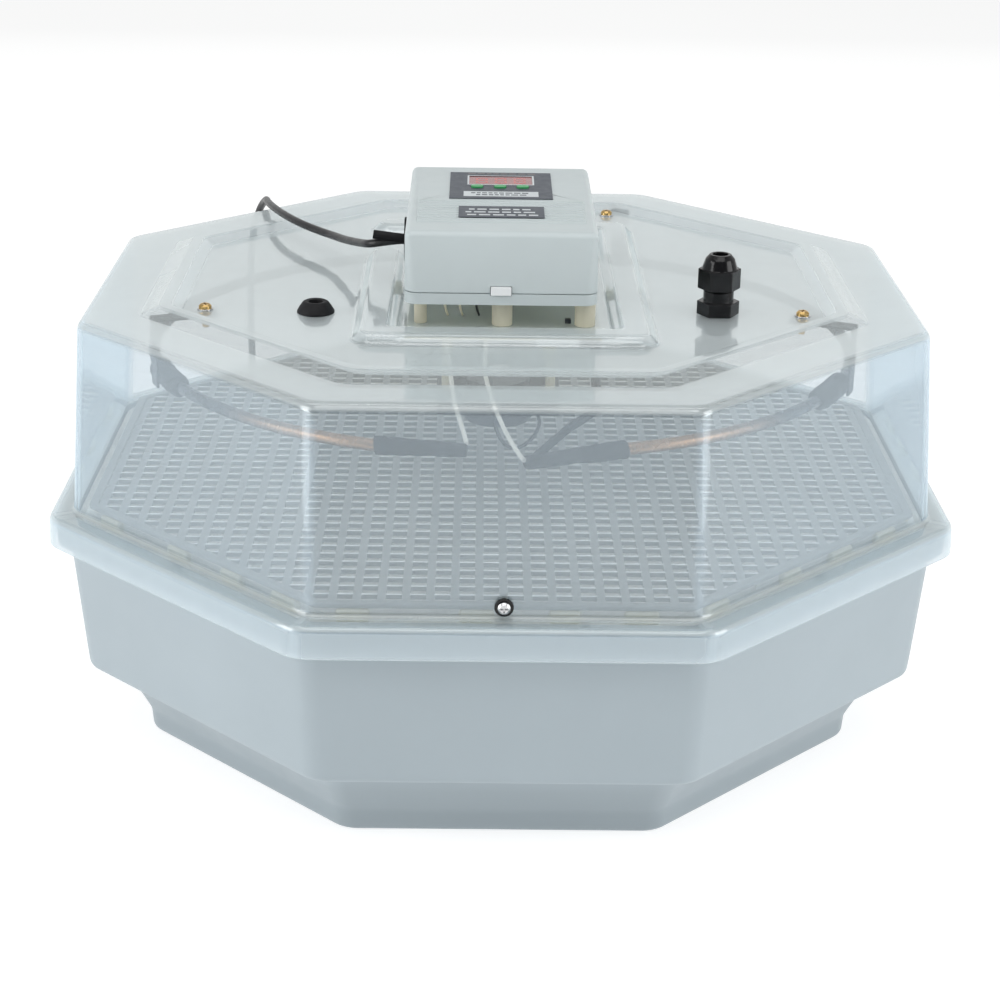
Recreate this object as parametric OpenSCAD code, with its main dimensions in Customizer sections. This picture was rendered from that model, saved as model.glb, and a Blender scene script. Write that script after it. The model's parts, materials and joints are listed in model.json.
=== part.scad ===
// Octagonal egg incubator: a pale moulded base, a clear lid with a heating ring and a fan under it,
// and a control box on top of the lid. Millimetres, +Z up, origin at the middle of the base's underside,
// flat sides square to X and Y, control box front towards -Y.

/* [Base] */
// Distance from the centre to each flat side of the lid's skirt
rim_apothem = 270; // [268:1:275]
// Distance from the centre to each flat side of the foot
foot_apothem = 217; // [210:1:220]
// Height of the ledge that the egg grid's rests stand on
ledge_z = 143.8; // [143.8:0.1:144]
// Thickness of the base's moulded wall
wall = 3; // [2.5:0.5:3]

/* [Egg grid] */
// Distance from the centre to each flat side of the egg grid
grid_apothem = 246; // [240:1:248]
// Height of the egg grid's upper face
grid_top = 155; // [155:0.5:156]
// Distance between the grid's lengthwise bars
bar_pitch = 13.2; // [12:0.1:16]
// Distance between the grid's modelled cross bars
rung_pitch = 34.8; // [30:0.1:50]
// Width of each bar of the grid
bar_w = 4; // [3:0.5:5]

/* [Lid] */
// Height of the lid's flat top
lid_top = 267.6; // [267.6:0.1:268]
// Thickness of the clear lid
lid_wall = 2.2; // [2:0.1:2.4]
// Distance of the hanger screws from the centre
screw_circle = 191; // [189:1:192]
// Radius of the air hole that the rubber plug closes
vent_hole_r = 6.3; // [6:0.1:7]

/* [Heater] */
// Radius of the heating ring's centre line
ring_r = 216; // [214:1:218]
// Height of the heating ring
ring_z = 230; // [226:1:232]
// Diameter of the heating tube
tube_d = 7; // [6:0.5:8]

/* [Fan] */
// Side of the square fan frame
fan_side = 76; // [70:1:80]
// Depth of the fan frame
fan_depth = 15; // [14:1:20]
// Height of the fan frame's lower face
fan_z = 192; // [190:1:195]

/* [Control box] */
// Width of the control box
case_w = 111; // [108:1:114]
// Depth of the control box
case_d = 155; // [150:1:156]
// Height of the box's underside
case_z = 282.6; // [282:0.1:284]
// Rise of the box's top from front to back, in degrees
tilt = 2; // [1:0.5:3]
// Travel of each push button
button_travel = 0.8; // [0.5:0.1:0.8]

/* [Cord] */
// Diameter of the mains cord
cord_d = 5; // [4.5:0.5:5]

/* [Hidden] */

// Smoothness of true round surfaces, and of rounded corners inside a hull
round_fn = 48;
hull_fn = 32;
// Gap that keeps two moving bodies apart, and a running fit's gap
gap = 0.3;
run = 0.05;
// Steps round each rounded corner of the octagon
corner_steps = 5;

// Base
flange_z = 131.5;
rim_z = 148.1;
tray_wall = 2.5;
tray_floor = 78;
tray_under = tray_floor - tray_wall;
divider_h = 16;
rest_w = 14;
grid_t = 3.2;

// Lid
lid_under = lid_top - lid_wall;
front_screw_z = 158;
front_wall_y = -254.9;
screw_angles = [202.5, -22.5, 67.5];
bead_w = 27;
bead_h = 6;
bead_x = 74.5;
bead_front = -130.5;
bead_back = 126;
vent_at = [-111, -77];
wire_hole = [-30, -60];
wire_hole_r = 7;
gland_at = [126.5, -69];
m4_r = 1.95;
m4_hole_r = 2.2;

// Heater: the ring is open at the front, between these two angles
ring_start = -72.5;
ring_end = 250;
sleeve_r = 4.8;
hanger_w = 12;
strap_r = 221.8;

// Control box
case_x = -2.5;
case_front = -110;
case_lip = 6.5;
cover_z = case_z + case_lip + 0.3;
cover_front_h = 35.3;
cover_t = 2.5;
cover_r = 4;
case_mid = case_front + case_d / 2;
case_back = case_front + case_d;
standoff_at = [[-49, -94, 3.7], [-1.6, -97, 6], [46.5, -97, 6], [-49, 28, 3.7], [46.5, 28, 3.7]];
clip_w = 11.8;
clip_h = 4.9;
clip_z = 288.4;
rib_h = 0.4;
button_x = [-14.4, -0.4, 13.3];
button_y = 100.2;
button_under = -4.2;
switch_h = 5.9;
display_y = 116.6;
label_y = 104.8;
label_d = 61.5;
rating_y = 43.2;
exit_y = -20;
exit_z = 298;
case_left = case_x - case_w / 2;

// Cord: from the box over the lid's back left edge, then down to the coil, and on to the plug
cord_r = cord_d / 2;
cord_points = [
    [-82, -16, 294], [-87, -5, 291.5], [-93, 12, 288], [-101, 34, 284], [-110, 55, 281.3],
    [-120, 71, 280.4], [-133, 90, 280.4], [-145, 113, 280.2], [-155, 140, 279], [-161, 165, 276.4],
    [-165, 188, 272.6], [-171, 202, 262], [-176, 208, 245], [-179, 212, 220], [-180, 213, 180]
];
drop_points = [
    [-180, 213, 179.2], [-180, 213, 130], [-180, 213, 80], [-181, 215, 45], [-182, 219, 24],
    [-177, 226, 10], [-162, 231, 3.6], [-146, 232.5, 2.6], [-131, 232.5, 2.6]
];
coil_at = [-105, 265];
tail_points = [[-88.2, 235, 6.8], [-80, 235, 6.8], [-72, 235.5, 6.9], [-64, 236, 7], [-58, 236, 7]];
plug_at = [-58, 236, 7];

// ---- Shared shapes ----

// One ring of the rounded octagon: apothem a, height z, corner radius r
function octagon_ring(a, z, r) = [
    for (k = [0:7], s = [0:corner_steps])
        let (v = (a - r) / cos(22.5), mid = 22.5 + 45 * k, t = 45 * k + 45 * s / corner_steps)
            [v * cos(mid) + r * cos(t), v * sin(mid) + r * sin(t), z]
];

// Solid swept round the octagon through [apothem, height, corner radius] rings, closed flat at both ends
module swept_octagon(rings) {
    n = 8 * (corner_steps + 1);
    last = len(rings) - 1;
    points = [for (q = rings) each octagon_ring(q[0], q[1], q[2])];
    sides = [
        for (i = [0:last - 1], j = [0:n - 1])
            let (k = (j + 1) % n)
                [i * n + j, (i + 1) * n + j, (i + 1) * n + k, i * n + k]
    ];
    first_cap = [for (j = [0:n - 1]) j];
    last_cap = [for (j = [n - 1:-1:0]) last * n + j];
    polyhedron(points = points, faces = concat([first_cap], sides, [last_cap]), convexity = 8);
}

// Flat rounded octagon with apothem a and corner radius r
module octagon_outline(a, r) {
    polygon([for (p = octagon_ring(a, 0, r)) [p[0], p[1]]]);
}

// Point at parameter t on the smooth curve through b and c, with neighbours a and d
function smooth(a, b, c, d, t) =
    0.5 * (2 * b + (c - a) * t + (2 * a - 5 * b + 4 * c - d) * t * t
        + (3 * b - a - 3 * c + d) * t * t * t);

// The route's points with steps - 1 points added between each two
function smooth_route(p, steps) = let (n = len(p) - 1) [
    for (i = [0:n - 1], s = [0:steps - 1])
        smooth(p[max(i - 1, 0)], p[i], p[i + 1], p[min(i + 2, n)], s / steps),
    p[n]
];

function unit(v) = v / norm(v);

// Round tube along a route; side is a direction that the route never follows
module swept_tube(route, r, sides = 8, side = [1, 0, 0]) {
    n = len(route) - 1;
    points = [
        for (i = [0:n])
            let (
                along = unit(route[min(i + 1, n)] - route[max(i - 1, 0)]),
                u = unit(cross(side, along)),
                v = cross(along, u)
            )
                for (j = [0:sides - 1]) route[i] + r * (u * cos(360 * j / sides) + v * sin(360 * j / sides))
    ];
    skin = [
        for (i = [0:n - 1], j = [0:sides - 1])
            let (k = (j + 1) % sides)
                [i * sides + j, (i + 1) * sides + j, (i + 1) * sides + k, i * sides + k]
    ];
    start = [for (j = [0:sides - 1]) j];
    finish = [for (j = [sides - 1:-1:0]) n * sides + j];
    polyhedron(points = points, faces = concat([start], skin, [finish]), convexity = 6);
}

// Cylinder from point p to point q
module rod(p, q, r) {
    d = q - p;
    length = norm(d);
    translate(p)
        rotate([0, acos(d[2] / length), atan2(d[1], d[0])])
            cylinder(h = length, r = r, $fn = round_fn);
}

module disc(r, h) {
    cylinder(h = h, r = r, $fn = round_fn);
}

// Ring with a true bore
module ring(outer, inner, h) {
    difference() {
        disc(outer, h);
        translate([0, 0, -1]) disc(inner, h + 2);
    }
}

module hexagon(across, h) {
    cylinder(h = h, r = across / 2 / cos(30), $fn = 6);
}

module hex_nut(across, hole_r, h) {
    difference() {
        hexagon(across, h);
        translate([0, 0, -1]) disc(hole_r, h + 2);
    }
}

// Upright slot-shaped block of length l along X, width w
module slot_block(l, w, h) {
    for (side = [-1, 1]) translate([side * (l - w) / 2, 0, 0]) disc(w / 2, h);
    translate([-(l - w) / 2, -w / 2, 0]) cube([l - w, w, h]);
}

// Block with rounded upright edges, centred on X and Y
module rounded_block(w, d, h, r) {
    linear_extrude(h)
        offset(r = r, $fn = hull_fn)
            square([w - 2 * r, d - 2 * r], center = true);
}

// Screw with its head's underside at z = 0 and a cross recess
module cross_screw(head_r, head_h, shank_r, length) {
    difference() {
        union() {
            disc(head_r, head_h * 0.55);
            translate([0, 0, head_h * 0.55])
                cylinder(h = head_h * 0.45, r1 = head_r, r2 = head_r * 0.7, $fn = round_fn);
        }
        for (a = [0, 90])
            rotate([0, 0, a])
                translate([-head_r * 0.6, -head_r * 0.12, head_h * 0.5])
                    cube([head_r * 1.2, head_r * 0.24, head_h]);
    }
    translate([0, 0, -length]) disc(shank_r, length);
}

// Places children in the sloping frame of the box's top: origin at the middle of its front crease
module on_box_top() {
    translate([case_x, case_front, cover_z + cover_front_h])
        rotate([tilt, 0, 0])
            children();
}

// ---- Base ----

module base_tub() {
    color("lightsteelblue")
        swept_octagon([
            [foot_apothem - 5, 0, 16], [foot_apothem - 1.5, 1.5, 18], [foot_apothem, 5, 18],
            [foot_apothem + 0.5, 14, 18], [foot_apothem + 5.5, 25, 19], [229, 36, 19], [236, 44.5, 20],
            [245, 48.8, 20], [250, 51, 20], [252, 55, 20], [258, flange_z - 1, 20],
            [rim_apothem - 5, flange_z, 22], [rim_apothem - 4.4, flange_z + 1.5, 22],
            [rim_apothem - 4.4, rim_z - 4, 22], [rim_apothem - 6, rim_z - 1, 22],
            [rim_apothem - 9, rim_z, 22], [255.4, rim_z, 19], [254.6, rim_z - 1, 19],
            [254.6, flange_z, 18], [249, 56.5, 17], [244, 53, 17], [233, 47.5, 16], [226, 38.5, 16],
            [219, 26.5, 16], [foot_apothem - 2.7, 14, 15], [foot_apothem - 3, wall + 3, 14],
            [foot_apothem - 6, wall, 12]
        ]);
}

module base_insulation() {
    color("cornsilk")
        swept_octagon([
            [240, 54, 15], [246.5, 58, 16], [252.4, 136, 16], [241, 136, 14],
            [234.8, tray_floor + 1, 13], [228, tray_under - gap, 12]
        ]);
}

module inner_tray() {
    color("white")
        swept_octagon([
            [226, tray_under, 12], [232, tray_floor + 1, 14], [238.4, 136.4, 15],
            [241, 141.3, 16], [250, 141.3, 17], [252.6, 143, 18], [254, 145, 18], [252.8, 146.2, 18],
            [250.6, ledge_z, 17], [239.5, ledge_z, 15], [236.4, 140.5, 14], [229.8, tray_floor + 3, 13],
            [225, tray_floor, 12]
        ]);
}

// Low wall that keeps the water in a channel round the tray's floor
module water_divider() {
    color("white")
        translate([0, 0, tray_floor])
            linear_extrude(divider_h)
                difference() {
                    octagon_outline(160, 9);
                    octagon_outline(156, 6);
                }
}

module grid_rests() {
    color("cornsilk")
        for (k = [0:7], x = [-81, -16, 32, 76])
            rotate([0, 0, 45 * k])
                translate([x - rest_w / 2, -247, ledge_z])
                    cube([rest_w, 5, grid_top - grid_t - gap - ledge_z]);
}

module grid_outline(a) {
    circle(r = a / cos(22.5), $fn = 8);
}

module egg_grid() {
    columns = floor(grid_apothem / bar_pitch) - 1;
    rungs = floor(grid_apothem / rung_pitch);
    inner = grid_apothem - 5;
    color("aliceblue")
        translate([0, 0, grid_top - grid_t])
            linear_extrude(grid_t)
                difference() {
                    rotate([0, 0, 22.5]) grid_outline(grid_apothem);
                    for (i = [-columns - 1:columns], j = [-rungs - 1:rungs]) {
                        x = (i + 0.5) * bar_pitch;
                        y = (j + 0.5) * rung_pitch;
                        reach = (inner - bar_pitch / 2 - rung_pitch / 2) * sqrt(2);
                        inside = abs(x) + abs(y) < reach && abs(y) + rung_pitch / 2 < inner;
                        if (inside)
                            translate([x, y])
                                square([bar_pitch - bar_w, rung_pitch - bar_w], center = true);
                    }
                }
}

// ---- Lid ----

module lid_cover() {
    inner = rim_apothem - 2;
    color("lightcyan", 0.4)
        difference() {
            swept_octagon([
                [187, lid_under, 10], [190.6, lid_under + 1, 10], [195, lid_under + 3.6, 10],
                [200, lid_under + 4.6, 11], [205, lid_under + 3.8, 12], [210, lid_under + 1.6, 13],
                [214, lid_under, 13], [238, lid_under, 13], [242.4, lid_under - 1.6, 14],
                [244.9, lid_under - 4.4, 15], [246.1, 257, 15], [252.9, 153.5, 17], [254.2, 150.2, 18],
                [257, rim_z + gap, 19], [inner - 3, rim_z + gap, 22], [inner - 0.9, 147.2, 23],
                [inner, 145, 24], [inner, 132.2, 24],
                [rim_apothem, 132.2, 26], [rim_apothem - 0.4, 147.5, 26],
                [rim_apothem - 1.4, 149.8, 25], [rim_apothem - 4, 150.6, 24], [258.5, 150.6, 20],
                [256.3, 151.5, 19], [255.2, 154, 19], [248.6, 257.5, 17], [247.4, 262.5, 17],
                [244.6, 266, 16], [240, lid_top, 15], [214.6, lid_top, 15], [210.6, lid_top + 1.4, 15],
                [205.5, lid_top + 3.8, 14], [200, lid_top + 4.8, 13], [194.4, lid_top + 3.8, 12],
                [189.6, lid_top + 1, 12], [186, lid_top, 12]
            ]);
            translate([vent_at[0], vent_at[1], lid_under - 1]) disc(vent_hole_r, lid_wall + 2);
            translate([gland_at[0], gland_at[1], lid_under - 1]) disc(7.8, lid_wall + 2);
            for (a = screw_angles)
                rotate([0, 0, a]) translate([screw_circle, 0, lid_under - 1]) disc(m4_hole_r, lid_wall + 2);
            for (s = standoff_at)
                translate([s[0], s[1], lid_under - 1]) disc(m4_hole_r, lid_wall + 2);
            translate([wire_hole[0], wire_hole[1], lid_under - 1]) disc(wire_hole_r, lid_wall + 2);
            translate([0, front_wall_y + 5, front_screw_z])
                rotate([90, 0, 0]) disc(2.1, 10);
        }
}

// One straight arm of the raised bead, tapering upwards, with rounded ends
module bead_arm(p, q) {
    foot = bead_w / 2;
    crest = 8;
    hull()
        for (end = [p, q])
            translate([end[0], end[1], lid_top])
                cylinder(h = bead_h, r1 = foot, r2 = crest, $fn = hull_fn);
}

module lid_bead() {
    color("lightcyan", 0.4) {
        bead_arm([-bead_x, bead_front], [bead_x, bead_front]);
        bead_arm([-bead_x, bead_front], [-bead_x, 48]);
        bead_arm([bead_x, bead_front], [bead_x, bead_back]);
        bead_arm([-bead_x, bead_back], [bead_x, bead_back]);
    }
}

module vent_plug() {
    color("black")
        translate([vent_at[0], vent_at[1], lid_top + gap])
            rotate_extrude($fn = round_fn)
                polygon([
                    [0, -5.5], [5.4, -5.5], [vent_hole_r - gap - 0.1, -4.6], [vent_hole_r - gap - 0.1, 0],
                    [11, 0], [11, 1], [9.6, 3.4], [7.6, 6.2], [6.4, 6.8], [4.4, 6.4], [3.6, 2.4], [0, 2]
                ]);
}

// ---- Cable gland ----

module at_gland(z) {
    translate([gland_at[0], gland_at[1], z]) children();
}

module gland_body() {
    color("black")
        at_gland(lid_top)
            difference() {
                union() {
                    translate([0, 0, -12]) disc(7.5, 12);
                    hexagon(22, 8);
                    translate([0, 0, 8]) disc(9, 6.5);
                    translate([0, 0, 14.5]) disc(8.2, 11.5);
                }
                translate([0, 0, -13]) disc(5, 40);
                translate([0, 0, 21]) disc(6.5, 6);
            }
}

module gland_locknut() {
    color("black")
        at_gland(lid_under - 4.5)
            hex_nut(20, 7.6, 4.5);
}

module gland_seal() {
    color("dimgray")
        at_gland(lid_top + 21.2)
            ring(6.2, 3.8, 11.6);
}

module gland_dome_nut() {
    color("black")
        at_gland(lid_top + 15.6)
            difference() {
                union() {
                    hexagon(22, 12);
                    translate([0, 0, 12])
                        cylinder(h = 6, r1 = 10.6, r2 = 8.6, $fn = round_fn);
                    translate([0, 0, 18])
                        cylinder(h = 2.6, r1 = 8.6, r2 = 6.4, $fn = round_fn);
                }
                translate([0, 0, -1]) disc(8.2 + run, 12.4);
                translate([0, 0, 11]) disc(6.6, 6.7);
                translate([0, 0, 15]) disc(4.6, 8);
            }
}

// ---- Front screw ----

module at_front(depth) {
    translate([0, front_wall_y - depth, front_screw_z])
        rotate([90, 0, 0])
            children();
}

module front_screw() {
    color("silver")
        at_front(2.25)
            cross_screw(3.4, 2.2, 1.7, 8.4);
}

module front_washer() {
    color("black")
        at_front(1)
            ring(5.2, 1.8, 1.2);
}

module front_nut() {
    color("silver")
        at_front(-5.9)
            hex_nut(6, 1.75, 2.6);
}

// ---- Heater ----

module at_hangers(r, z) {
    for (a = screw_angles)
        rotate([0, 0, a])
            translate([r, 0, z])
                children();
}

module hanger_screws() {
    color("goldenrod")
        at_hangers(screw_circle, lid_top + 0.8)
            cross_screw(3.8, 2.6, m4_r, 11.4);
}

module hanger_washers() {
    color("gainsboro")
        at_hangers(screw_circle, lid_top)
            ring(4.8, 2.1, 0.8);
}

module hanger_nuts() {
    color("goldenrod")
        at_hangers(screw_circle, lid_under - 4.8)
            hex_nut(7, 2, 3.2);
}

module heater_hangers() {
    drop = lid_under - ring_z + 6;
    color("dimgray")
        at_hangers(0, 0)
            difference() {
                union() {
                    translate([screw_circle - 7, -hanger_w / 2, lid_under - 1.5])
                        cube([strap_r + 1.4 - screw_circle + 7, hanger_w, 1.4]);
                    translate([strap_r, -hanger_w / 2, lid_under - 0.1 - drop])
                        cube([1.4, hanger_w, drop]);
                }
                translate([screw_circle, 0, lid_under - 3]) disc(m4_hole_r, 6);
            }
}

module heater_clamps() {
    color("black")
        at_hangers(ring_r, ring_z)
            rotate([90, 0, 0])
                translate([0, 0, -7])
                    ring(5.6, tube_d / 2 + 0.3, 14);
}

module heater_tube() {
    color("rosybrown")
        rotate([0, 0, ring_start])
            rotate_extrude(angle = ring_end - ring_start, $fn = 96)
                translate([ring_r, ring_z])
                    circle(d = tube_d, $fn = round_fn);
}

function ring_point(a) = [ring_r * cos(a), ring_r * sin(a), ring_z];

module heater_sleeve_left() {
    color("black")
        rod(ring_point(ring_end - 1), [-21, -211, ring_z], sleeve_r);
}

module heater_sleeve_right() {
    color("black")
        rod(ring_point(ring_start + 1), [11, -229, ring_z], sleeve_r);
}

module heater_lead_left() {
    color("white")
        swept_tube(smooth_route([
            [-33, -109, 260.7], [-32.5, -120, 256.5], [-31, -128, 248], [-28, -158, 239], [-23, -195, 236],
            [-21, -210, 233.8]
        ], 3), 1.3);
}

module heater_lead_right() {
    color("white")
        swept_tube(smooth_route([
            [-11, -109, 260.7], [-11, -121, 256], [-11, -130, 247], [-6, -160, 239], [0, -190, 234],
            [6, -215, 231.5], [9.8, -228.6, 231]
        ], 3), 1.3);
}

// ---- Fan ----

module fan_mount_plate() {
    color("cornsilk")
        translate([0, 0, lid_under - 3.2])
            difference() {
                translate([-58, -112, 0]) cube([114, 158, 3]);
                for (x = [-32, 32], y = [-32, 32])
                    translate([case_x + x, y, -1]) disc(2.1, 5);
                for (s = standoff_at)
                    translate([s[0], s[1], -1]) disc(4.6, 5);
                translate([wire_hole[0], wire_hole[1], -1]) disc(wire_hole_r, 5);
            }
}

module fan_spacers() {
    low = fan_z + fan_depth + 0.05;
    color("ivory")
        for (x = [-32, 32], y = [-32, 32])
            translate([x - 2.5, y, low])
                disc(3, lid_under - 3.25 - low);
}

module fan_frame() {
    color("black")
        translate([-2.5, 0, fan_z])
            difference() {
                translate([-fan_side / 2, -fan_side / 2, 0])
                    cube([fan_side, fan_side, fan_depth]);
                translate([0, 0, 2.5]) disc(36, fan_depth);
                translate([0, 0, -1]) disc(22.05, 6);
                for (a = [60, 180, 300])
                    rotate([0, 0, a])
                        intersection() {
                            translate([0, 0, -1]) ring(35, 24.5, 6);
                            rotate([0, 0, -52]) translate([0, 0, -2]) cube([60, 60, 8]);
                            rotate([0, 0, -38]) translate([0, 0, -2]) cube([60, 60, 8]);
                        }
            }
}

module fan_motor() {
    color("black")
        translate([-2.5, 0, fan_z - 14])
            difference() {
                union() {
                    disc(20.5, 2);
                    translate([0, 0, 2]) disc(22, 17);
                }
                translate([0, 0, 14]) disc(2.2 + run, 6);
            }
}

module fan_shaft() {
    color("silver")
        translate([-2.5, 0, fan_z + 0.4])
            disc(2.2, 12);
}

module fan_rotor() {
    color("darkslategray")
        translate([-2.5, 0, fan_z + 5.4]) {
            ring(20, 2.2, 8);
            for (k = [0:6])
                rotate([0, 0, k * 360 / 7])
                    translate([19, 0, 4])
                        rotate([24, 0, 0])
                            translate([0, -8, -0.7])
                                cube([15.4, 16, 1.4]);
        }
}

module fan_lead() {
    color("black")
        swept_tube(smooth_route([
            [20.2, -5, fan_z - 6], [24, -16, 181], [20, -36, 178], [11, -52, 176], [2, -62, 181],
            [-4, -62, 192], [-6, -64, 210], [-10, -70, 240], [-20, -74, 262]
        ], 3), 1.2, 8, [0, 0.3, 1]);
}

// ---- Sensor ----

module sensor_cable() {
    color("black")
        swept_tube(smooth_route([
            [52.6, -106, 261], [53.2, -106, 245], [53.8, -105, 234], [55.2, -103, 224], [53, -103, 217],
            [46, -103, 211.5], [39, -104, 207]
        ], 3), 2.8, 8, [0, 1, 0]);
}

module sensor_probe() {
    color("black")
        rod([39, -104, 207], [20, -107, 190.5], 2.5);
}

// ---- Control box ----

module standoffs() {
    color("ivory")
        for (s = standoff_at)
            translate([s[0], s[1], lid_top])
                ring(s[2], 2.1, case_z - lid_top);
}

module standoff_screws() {
    color("silver")
        for (s = standoff_at)
            translate([s[0], s[1], lid_under - 0.02])
                rotate([180, 0, 0])
                    cross_screw(3.8, 2.6, m4_r, 22);
}

module case_base() {
    color("lightsteelblue")
        translate([case_x, case_mid, case_z])
            difference() {
                union() {
                    difference() {
                        rounded_block(case_w, case_d, case_lip, 8);
                        translate([0, 0, cover_t])
                            rounded_block(case_w - 6, case_d - 6, case_lip, 6);
                    }
                    for (x = [-42, 42], y = [-62, 52])
                        translate([x, y, 1]) disc(3.4, 9);
                }
                translate([-case_x, -case_mid, -case_z]) clip_cut();
                for (s = standoff_at)
                    translate([s[0] - case_x, s[1] - case_mid, -1]) disc(2, cover_t + 6);
                for (x = [-42, 42], y = [-62, 52])
                    translate([x, y, 3.4]) disc(1.4, 8);
            }
}

// Notch for the front clip
module clip_cut() {
    translate([case_x - clip_w / 2 - gap, case_front - 3, clip_z - gap])
        cube([clip_w + 2 * gap, 8, clip_h + 2 * gap]);
}

// Outer form of the cover, shrunk by s on every side
module cover_form(s) {
    top = cover_z + cover_front_h - s;
    rise = tan(tilt) * (case_d - 8);
    reach_x = case_w / 2 - 0.2 - s - cover_r;
    hull() {
        translate([case_x, case_mid, cover_z - (s > 0 ? 1 : 0)])
            rounded_block(case_w - 2 * s, case_d - 2 * s, 1, 8 - s);
        for (x = [-1, 1])
            for (end = [[case_front + 2.5 + s, 1, 0], [case_back - 2.5 - s, -1, 1]])
                translate([case_x + x * reach_x, end[0] + end[1] * cover_r, top - cover_r + end[2] * rise])
                    sphere(r = cover_r, $fn = hull_fn);
    }
}

module case_cover() {
    color("lightsteelblue")
        difference() {
            union() {
                cover_form(0);
                on_box_top()
                    for (k = [0:9])
                        translate([-49, 23 + 5 * k, -1]) cube([98, 2.2, 1 + rib_h]);
            }
            cover_form(cover_t);
            on_box_top() {
                translate([-19.6, display_y - 10.1, -5]) cube([39.2, 20.2, 10]);
                for (x = button_x)
                    translate([x, button_y, -5]) slot_block(8, 5.8, 10);
            }
            translate([case_left - 5, exit_y, exit_z]) rotate([0, 90, 0]) disc(6.1, 12);
            clip_cut();
        }
}

module case_screws() {
    color("silver")
        for (x = [-42, 42], y = [-62, 52])
            translate([case_x + x, case_mid + y, case_z + 11.7])
                cross_screw(2.8, 1.8, 1.35, 8);
}

module front_clip() {
    color("whitesmoke")
        translate([case_x - clip_w / 2, case_front - 1, clip_z])
            cube([clip_w, 3.6, clip_h]);
}

module power_board() {
    color("darkgreen")
        translate([case_x, case_mid, case_z + 10])
            difference() {
                translate([-50, -71, 0]) cube([100, 132, 1.6]);
                for (x = [-42, 42], y = [-62, 52])
                    translate([x, y, -1]) disc(1.6, 4);
                translate([-51, 62 - 8, -1]) cube([2, 8, 4]);
            }
}

module on_board(x, y) {
    translate([x, y, case_z + 11.65]) children();
}

module transformer() {
    color("gold")
        on_board(8, -82) {
            translate([-13, -16, 0]) cube([26, 32, 18]);
            translate([-17, -10, 2]) cube([3.9, 20, 14]);
            translate([13.1, -10, 2]) cube([3.9, 20, 14]);
        }
}

module relay() {
    color("royalblue")
        on_board(-28, -62)
            translate([-9.5, -7.75, 0]) cube([19, 15.5, 15]);
}

module terminal_block() {
    color("seagreen")
        on_board(-30, 18)
            difference() {
                translate([-10, -5, 0]) cube([20, 10, 10]);
                for (x = [-5, 0, 5]) {
                    translate([x, 0, 5]) disc(1.7, 6);
                    translate([x, -6, 3]) rotate([-90, 0, 0]) disc(1.3, 7);
                }
            }
}

module display_board() {
    color("darkgreen")
        on_box_top()
            translate([-36, 77, -13]) cube([72, 58, 1.6]);
}

module display_module() {
    color("black")
        on_box_top()
            translate([-18.8, display_y - 9.5, -11.35]) cube([37.6, 19, 8.4]);
}

module display_window() {
    color("firebrick")
        on_box_top()
            translate([-19.4, display_y - 9.9, -2.4]) cube([38.8, 19.8, 2.5]);
}

module button_switches() {
    color("dimgray")
        on_box_top()
            for (x = button_x)
                translate([x, button_y, button_under - button_travel - 0.45 - switch_h]) {
                    translate([-3, -3, 0]) cube([6, 6, switch_h - 2]);
                    translate([0, 0, switch_h - 2]) disc(1.7, 2);
                }
}

module push_button(x) {
    color("green")
        on_box_top()
            translate([x, button_y, button_under]) {
                slot_block(9.4, 7.2, 1.2);
                translate([0, 0, 1.2]) slot_block(7.4, 5.2, 4.3);
            }
}

module button_left() {
    push_button(button_x[0]);
}

module button_middle() {
    push_button(button_x[1]);
}

module button_right() {
    push_button(button_x[2]);
}

module face_label() {
    color("dimgray")
        on_box_top()
            difference() {
                translate([-31, label_y - label_d / 2, 0.05]) cube([62, label_d, 0.35]);
                translate([-19.7, display_y - 10.2, -1]) cube([39.4, 20.4, 3]);
                for (x = button_x)
                    translate([x, button_y, -1]) slot_block(8.2, 6, 3);
            }
}

module rating_label() {
    color("dimgray")
        on_box_top()
            translate([-25, rating_y - 12, rib_h + 0.02]) cube([50, 24, 0.3]);
}

// ---- Cord ----

module cord_bush() {
    color("black")
        translate([case_left, exit_y, exit_z])
            rotate([0, -90, 0])
                difference() {
                    union() {
                        translate([0, 0, -4.6]) disc(6, 6.2);
                        translate([0, 0, 1.5]) disc(13.5, 1.1);
                        translate([0, 0, 2])
                            rotate([tilt, 9, 0])
                                cylinder(h = 20, r1 = 3.2, r2 = 2.7, $fn = round_fn);
                    }
                    translate([0, 0, -6]) disc(cord_r + 0.1, 6);
                }
}

module power_cord() {
    color("black")
        swept_tube(smooth_route(cord_points, 3), cord_r, 8, [1, -0.15, 0.1]);
}

module cord_coil() {
    color("black")
        translate([coil_at[0], coil_at[1], 0])
            rotate_extrude($fn = 64)
                polygon([[20, 0], [35, 0], [35, 5], [32.6, 9.3], [22.4, 9.3], [20, 5]]);
}

// The cord's lower runs: from the lid's rim down to the coil, and from the coil to the plug
module cord_lower() {
    color("black") {
        swept_tube(smooth_route(drop_points, 3), cord_r, 8, [1, -0.15, 0.1]);
        swept_tube(tail_points, cord_r, 8, [0, 0, 1]);
    }
}

module power_plug() {
    color("black")
        translate(plug_at)
            rotate([0, 90, 0]) {
                cylinder(h = 20, r1 = 3.2, r2 = 5, $fn = round_fn);
                translate([-6.5, 0, 20])
                    intersection() {
                        translate([0, -13, 0]) cube([13, 26, 34]);
                        translate([6.5, 0, 0])
                            cylinder(h = 34, r1 = 11, r2 = 16, $fn = round_fn);
                    }
            }
}

module plug_pins() {
    color("silver")
        translate(plug_at)
            for (y = [-9.3, 9.3])
                rod([54.05, y, 0], [73, y, 0], 2);
}

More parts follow.
